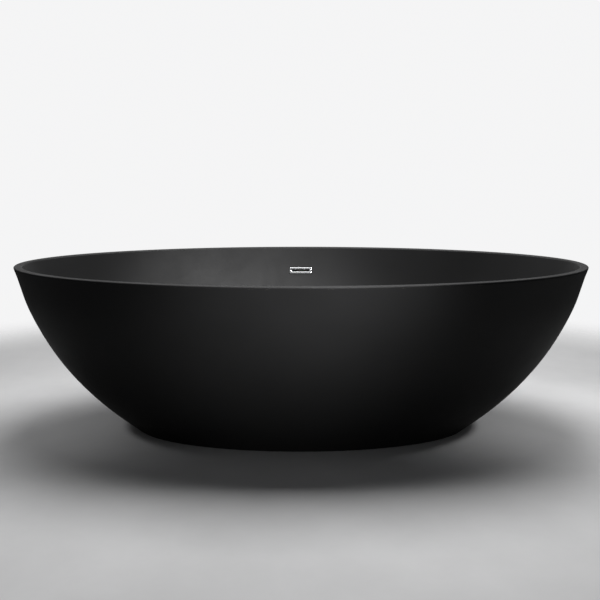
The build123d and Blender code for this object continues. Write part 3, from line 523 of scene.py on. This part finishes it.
def foot_stud(name):
    """A levelling screw: a turned pin, a chamfered hexagon and a rolled thread."""
    low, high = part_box(name)
    axis = Vector(((low.x + high.x) / 2, (low.y + high.y) / 2, 0))
    thread_low, thread_high = HEX_HIGH + THREAD_END, STUD_TOP - THREAD_END

    def make_ring(radius, height):
        return ring(axis, X, Y, Z, TURNED_SIDES, radius, height)

    def thread(height):
        """The radius by angle at that height; the thread runs out at both ends."""
        run_out = min(height - thread_low, thread_high - height) / (RUN_OUT * THREAD_PITCH)

        def radius(angle):
            turn = height / THREAD_PITCH - angle / (2 * math.pi)
            wave = abs(2 * (turn % 1) - 1)
            tooth = min(max((wave - ROOT_SHARE) / FLANK_SHARE, 0.0), 1.0)
            return THREAD_ROOT + (THREAD_CREST - THREAD_ROOT) * tooth * min(run_out, 1.0)
        return radius

    rings = [
        make_ring(STUD_PIN - STUD_PIN_EDGE, STUD_PIN_LOW),
        make_ring(STUD_PIN, STUD_PIN_LOW + STUD_PIN_EDGE),
        make_ring(STUD_PIN, HEX_LOW),
        *hex_rings(make_ring, STUD_FLAT, HEX_LOW, HEX_HIGH),
        make_ring(THREAD_ROOT, HEX_HIGH + THREAD_START),
    ]
    steps = round((thread_high - thread_low) / THREAD_PITCH * THREAD_STEPS)
    for i in range(steps + 1):
        height = thread_low + (thread_high - thread_low) * i / steps
        rings.append(make_ring(thread(height), height))
    rings.append(make_ring(THREAD_ROOT - THREAD_END, STUD_TOP))
    add_piece(name, [join_rings(rings)], "zinc_steel", name, sharp=32)


def route_line(points):
    """Points read from the smooth line that a route controls."""
    curve = bpy.data.curves.new("route", "CURVE")
    curve.dimensions = "3D"
    curve.resolution_u = 40
    spline = curve.splines.new("NURBS")
    spline.points.add(len(points) - 1)
    for control, point in zip(spline.points, points):
        control.co = (*point, 1)
    spline.order_u = 3
    spline.use_endpoint_u = True
    holder = bpy.data.objects.new("route", curve)
    line = bpy.data.meshes.new_from_object(holder)
    path = [v.co.copy() for v in line.vertices]
    bpy.data.objects.remove(holder)
    bpy.data.curves.remove(curve)
    bpy.data.meshes.remove(line)
    return path


def walk(path, step):
    """Even steps along a path, each with its place, direction and distance, and the path's length."""
    lengths = [(b - a).length for a, b in zip(path, path[1:])]
    length = sum(lengths)
    count = round(length / step)
    even = length / count
    places, passed, leg = [], 0.0, 0
    for i in range(count + 1):
        distance = i * even
        while leg < len(lengths) - 1 and passed + lengths[leg] < distance:
            passed += lengths[leg]
            leg += 1
        share = min((distance - passed) / lengths[leg], 1.0)
        places.append(path[leg].lerp(path[leg + 1], share))
    stations = []
    for i, place in enumerate(places):
        direction = places[min(i + 1, count)] - places[max(i - 1, 0)]
        stations.append((place, direction.normalized(), i * even))
    return stations, length


def overflow_hose():
    """The corrugated hose, with a smooth cuff at each end for its clip."""
    stations, length = walk(route_line(HOSE_ROUTE), HOSE_PITCH / HOSE_STEPS)
    outside, inside = [], []
    for place, along, distance in stations:
        past_cuff = min(distance, length - distance) - HOSE_CUFF
        share = min(max(past_cuff / HOSE_PITCH, 0.0), 1.0)
        wave = 0.5 + 0.5 * math.cos(2 * math.pi * distance / HOSE_PITCH)
        skin = HOSE_ROOT + (HOSE_RADIUS - HOSE_ROOT) * wave
        outer = HOSE_RADIUS + (skin - HOSE_RADIUS) * share
        inner = HOSE_BORE + (skin - HOSE_SKIN - HOSE_BORE) * share
        up = along.cross(X)
        outside.append(ring(place, X, up, along, HOSE_SIDES, outer))
        inside.append(ring(place, X, up, along, HOSE_SIDES, inner))
    rings = outside + inside[::-1]
    add_piece("overflow_hose", [join_rings(rings, closed=True)], "grey_hose", "tub", sharp=60)


def rounded_block(middle, axes, size, corner):
    """A closed block with bevelled edges, turned to three axes."""
    block = bmesh.new()
    bmesh.ops.create_cube(block, size=1.0)
    bmesh.ops.scale(block, vec=size, verts=block.verts)
    bmesh.ops.bevel(block, geom=block.edges, offset=corner, segments=3, affect="EDGES", profile=0.5)
    turn = Matrix(axes).transposed()
    points = [middle + turn @ v.co for v in block.verts]
    block.verts.index_update()
    faces = [tuple(v.index for v in face.verts) for face in block.faces]
    block.free()
    return points, faces


def hose_clip(name):
    """A worm-drive clip: slotted band, housing and hexagon-headed screw."""
    middle, along = CLIPS[name]
    up = along.cross(X)
    half, outer = CLIP_WIDTH / 2, CLIP_BORE + CLIP_BAND

    def slotted(angle):
        step = round(angle / (2 * math.pi) * BAND_SIDES)
        return outer - (SLOT_DEPTH if step % SLOT_SPACING < SLOT_SPACING / 2 else 0.0)

    profile = [
        (CLIP_BORE, -half),
        (outer - BEVEL_OUT, -half),
        (outer, -half + BEVEL_ALONG),
        (outer, -SLOT_MOUTH),
        (slotted, -SLOT_FLOOR),
        (slotted, SLOT_FLOOR),
        (outer, SLOT_MOUTH),
        (outer, half - BEVEL_ALONG),
        (outer - BEVEL_OUT, half),
        (CLIP_BORE, half),
    ]
    band = [ring(middle, X, up, along, BAND_SIDES, radius, height) for radius, height in profile]
    screw = middle + X * SCREW_OUT
    housing = rounded_block(screw - up * HOUSING_BACK, (X, up, along), HOUSING, HOUSING_EDGE)

    def screw_ring(radius, height):
        return ring(screw, along, X, up, TURNED_SIDES, radius, height)

    head = [
        screw_ring(SCREW_NECK, NECK_LOW),
        screw_ring(SCREW_NECK, NECK_HIGH),
        *hex_rings(screw_ring, SCREW_FLAT, HEAD_LOW, HEAD_HIGH),
        screw_ring(RECESS_MOUTH, HEAD_HIGH),
        screw_ring(RECESS_FLOOR, RECESS_LOW),
    ]
    shells = [join_rings(band, closed=True), housing, join_rings(head)]
    add_piece(name, shells, "stainless_steel", "tub", sharp=35)


overflow_hose()
for clip in CLIPS:
    hose_clip(clip)
for node in NODES:
    if node.startswith("foot_stud_"):
        foot_stud(node)


# ---------------------------------------------------------------- studio
FLOOR_SIZE, FLOOR_SOLID, FLOOR_GONE = 12.0, 1.25, 2.1
FLOOR_DARK, FLOOR_PALE = (0.62, 0.62, 0.624), (0.72, 0.72, 0.724)
FLOOR_BOUNCE = (0.24, 0.24, 0.24)
BACKDROP, FILL, FILL_STRENGTH = (0.91, 0.91, 0.915, 1), (0.97, 0.98, 1.0, 1), 0.075

CAMERA_PLACE = (-0.0265, -2.383, 0.876)
CAMERA_PITCH, CAMERA_ROLL, CAMERA_YAW = 10.81, -0.05, 0.5
CAMERA_LENS, CAMERA_SENSOR = 45.29, 36.0


def pale_floor():
    """A plain pale floor that fades into the backdrop; it throws less light back than it shows."""
    s = Shader("pale_floor")
    s.set(Specular_IOR_Level=0.2)
    broad = s.noise(1.4, 6.0, 0.62)
    pale = s.ramp(broad, (0.35, FLOOR_DARK), (0.70, FLOOR_PALE))
    seen = s.tree.nodes.new("ShaderNodeLightPath").outputs["Is Camera Ray"]
    s.colour(s.mix(seen, FLOOR_BOUNCE, pale))
    s.roughness(s.spread(s.noise(5.0, 4.0, 0.6), 0.3, 0.7, 0.6, 0.75))
    away = s.tree.nodes.new("ShaderNodeVectorMath")
    away.operation = "LENGTH"
    s.link(s.stretched((0.8, 1.0, 0.0)), away.inputs[0])
    fade = s.tree.nodes.new("ShaderNodeMapRange")
    fade.interpolation_type = "SMOOTHERSTEP"
    fade.inputs["From Min"].default_value = FLOOR_SOLID
    fade.inputs["From Max"].default_value = FLOOR_GONE
    fade.inputs["To Min"].default_value = 1.0
    fade.inputs["To Max"].default_value = 0.0
    s.link(away.outputs["Value"], fade.inputs["Value"])
    s.link(fade.outputs["Result"], s.bsdf.inputs["Alpha"])
    return s.material


def studio_floor():
    bpy.ops.mesh.primitive_plane_add(size=FLOOR_SIZE, location=(0, 0, 0))
    floor = bpy.context.object
    floor.name = "studio_floor"
    floor.data.materials.append(pale_floor())
    return floor


def add_light(name, kind, place, target, power, **values):
    """A light turned to a point."""
    data = bpy.data.lights.new(name, kind)
    data.energy = power
    for key, value in values.items():
        setattr(data, key, value)
    light = bpy.data.objects.new(name, data)
    light.location = place
    light.rotation_euler = (Vector(target) - Vector(place)).to_track_quat("-Z", "Y").to_euler()
    bpy.context.collection.objects.link(light)
    return light


def soft_world():
    """A pale backdrop behind everything, and a weak even fill."""
    world = bpy.data.worlds.new("studio")
    world.use_nodes = True
    bpy.context.scene.world = world
    tree = world.node_tree
    output = tree.nodes["World Output"]
    seen = tree.nodes["Background"]
    seen.inputs["Color"].default_value = BACKDROP
    seen.inputs["Strength"].default_value = 1.0
    fill = tree.nodes.new("ShaderNodeBackground")
    fill.inputs["Color"].default_value = FILL
    fill.inputs["Strength"].default_value = FILL_STRENGTH
    path = tree.nodes.new("ShaderNodeLightPath")
    mix = tree.nodes.new("ShaderNodeMixShader")
    tree.links.new(path.outputs["Is Camera Ray"], mix.inputs[0])
    tree.links.new(fill.outputs[0], mix.inputs[1])
    tree.links.new(seen.outputs[0], mix.inputs[2])
    tree.links.new(mix.outputs[0], output.inputs["Surface"])


def studio_camera():
    data = bpy.data.cameras.new("camera")
    data.lens, data.sensor_width = CAMERA_LENS, CAMERA_SENSOR
    camera = bpy.data.objects.new("camera", data)
    camera.location = CAMERA_PLACE
    turns = (90 - CAMERA_PITCH, CAMERA_ROLL, -CAMERA_YAW)
    camera.rotation_euler = [math.radians(turn) for turn in turns]
    bpy.context.collection.objects.link(camera)
    bpy.context.scene.camera = camera


def light_only(light, *objects):
    """The light falls on these objects alone."""
    chosen = bpy.data.collections.new(light.name + "_receivers")
    for item in objects:
        chosen.objects.link(item)
    light.light_linking.receiver_collection = chosen


def add_spot(name, place, target, power, spread, *receivers):
    """A soft spot that falls on the receivers alone."""
    light = add_light(
        name, "SPOT", place, target, power,
        spot_size=math.radians(spread), spot_blend=1.0, shadow_soft_size=0.15,
    )
    light_only(light, *receivers)


def add_card(name, place, target, power, width, height):
    """A pale card that shows only as a reflection."""
    light = add_light(name, "AREA", place, target, power, shape="RECTANGLE", size=width, size_y=height)
    light.visible_diffuse = False
    return light


def studio_lights(floor):
    """A soft box overhead, spots for the walls and the floor beside them, cards for rim and chrome."""
    add_light(
        "overhead", "AREA", (0.1, 0.35, 2.5), (0.1, 0.15, 0), 76,
        shape="RECTANGLE", size=2.0, size_y=1.3,
    )
    skirt, basin, trim = (NODES[name] for name in ("outer_skirt", "basin_shell", "overflow_trim"))
    add_spot("front", (0.55, -1.9, 1.6), (0.03, -0.42, 0.65), 300, 26, skirt, basin, trim)
    add_spot("front_right", (1.9, -1.9, 1.3), (0.62, -0.25, 0.58), 20, 32, skirt)
    add_spot("inner", (0.5, -1.7, 2.4), (0.05, 0.42, 0.47), 90, 24, basin, trim)
    add_spot("floor_left", (-2.1, -0.3, 1.8), (-0.92, 0.0, 0), 42, 28, floor)
    add_spot("floor_right", (2.1, -0.3, 1.8), (0.92, 0.0, 0), 74, 28, floor)
    add_card("back_card", (0, 2.2, 1.15), (0, -1, 1.15), 6.5, 4.4, 0.8)
    trim_card = add_card("trim_card", (0, -2.6, 1.75), (0, 0.4, 0.45), 0.5, 1.6, 0.6)
    light_only(trim_card, trim)


studio_lights(studio_floor())
soft_world()
studio_camera()
bpy.context.scene.view_settings.view_transform = "Standard"
